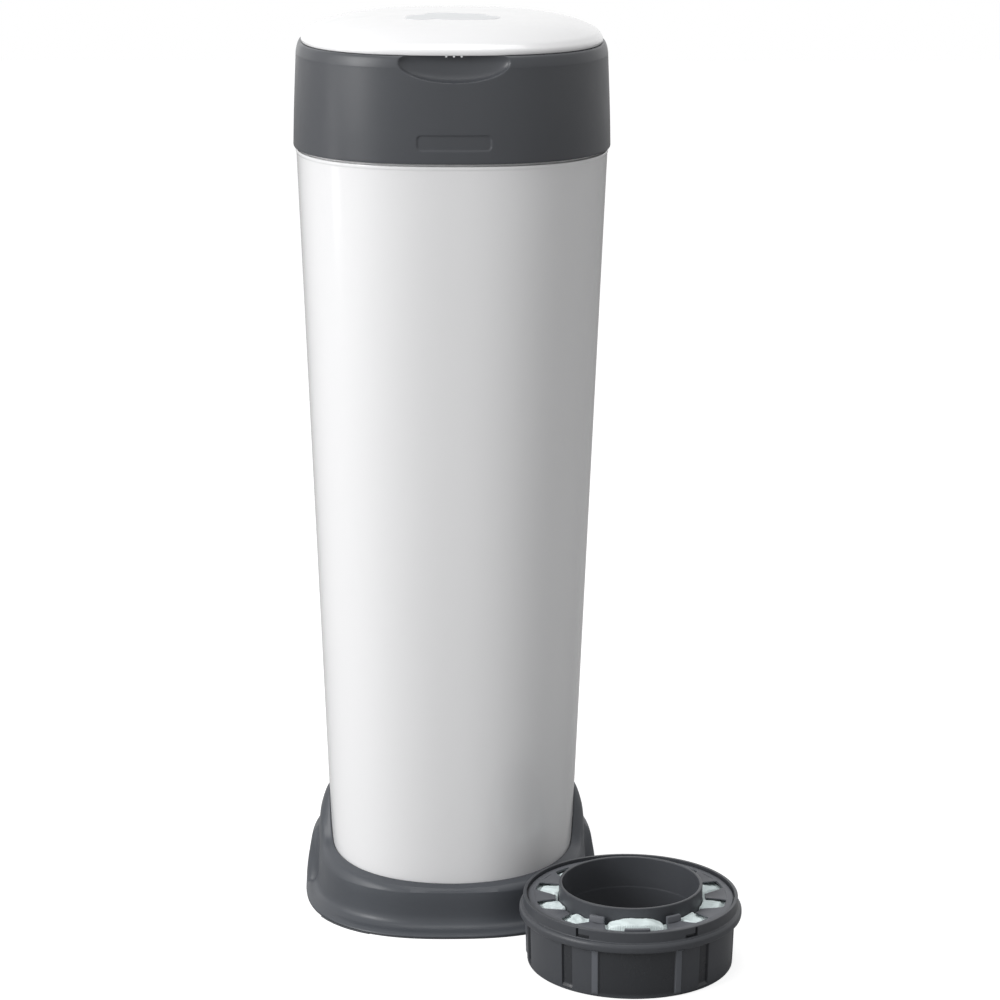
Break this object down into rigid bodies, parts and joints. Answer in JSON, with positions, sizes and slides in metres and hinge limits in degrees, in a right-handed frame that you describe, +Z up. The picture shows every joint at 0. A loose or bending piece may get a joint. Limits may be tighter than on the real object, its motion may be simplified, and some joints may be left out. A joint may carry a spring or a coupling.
{
  "type": "nappy bin",
  "caption": "Tall tapered nappy bin with a hinged domed lid, a tilting twist head, a dark flared foot and a spare refill cassette beside it.",
  "frame": {"origin": "on the floor under the bin's vertical axis", "axes": "+Z up, the front with the finger scoop faces -Y, +X to the viewer's right"},
  "size_m": [0.3526, 0.3914, 0.7298],
  "materials": {
    "white_gloss": "glossy",
    "head_grey": "satin",
    "base_grey": "satin",
    "deck_grey": "satin",
    "ring_grey": "satin",
    "cassette_charcoal": "satin",
    "finger_grey": "satin",
    "film": "crinkled",
    "natural_plastic": "satin",
    "liner_white": "satin",
    "rubber_black": "matte",
    "soft_white": "matte",
    "steel": "brushed"
  },
  "bodies": {
    "bin_body": {"body_tub": "white_gloss", "base_stand": "base_grey", "foot_ring": "rubber_black", "base_screws": "steel", "head_hinge_pin": "steel"},
    "head": {"collar": "head_grey", "inner_deck": "deck_grey", "deck_screws": "steel", "retaining_fingers": "soft_white", "finger_clamp": "deck_grey", "head_seal": "rubber_black", "lid_hinge_pin": "steel", "pawl_spring": "natural_plastic", "pawl_cover": "deck_grey", "cutter_rail": "deck_grey"},
    "lid": {"lid_shell": "white_gloss", "lid_liner": "liner_white", "seal_carrier": "liner_white", "lid_seal": "rubber_black", "liner_screws": "steel"},
    "twister": {"twist_ring": "ring_grey", "cassette_tub": "cassette_charcoal", "cassette_ring": "finger_grey", "film_pack": "film"},
    "pawl": {"click_pawl": "natural_plastic"},
    "cutter": {"cutter_slider": "natural_plastic", "cutter_blade": "steel"},
    "spare_cassette": {"spare_cassette_tub": "cassette_charcoal", "spare_cassette_ring": "finger_grey", "spare_film_pack": "film"}
  },
  "joints": [
    {"name": "head_tilt", "type": "hinge", "parent": "bin_body", "child": "head", "pos_m": [0, 0.131, 0.628], "axis": [-1, 0, 0], "range_deg": [0, 90]},
    {"name": "lid_hinge", "type": "hinge", "parent": "head", "child": "lid", "pos_m": [0, 0.1234, 0.706], "axis": [-1, 0, 0], "range_deg": [0, 100]},
    {"name": "film_twist", "type": "hinge", "parent": "head", "child": "twister", "pos_m": [0, 0, 0.69], "axis": [0, 0, 1], "continuous": true},
    {"name": "pawl_click", "type": "slide", "parent": "head", "child": "pawl", "axis": [0, 1, 0], "range_m": [0, 0.002], "stiffness_N_per_m": 300, "deforming": ["pawl_spring"]},
    {"name": "cutter_slide", "type": "slide", "parent": "head", "child": "cutter", "axis": [1, 0, 0], "range_m": [0, 0.05]},
    {"name": "spare_cassette_lift", "type": "slide", "parent": "bin_body", "child": "spare_cassette", "axis": [0, 0, 1], "range_m": [0, 0.12]}
  ]
}
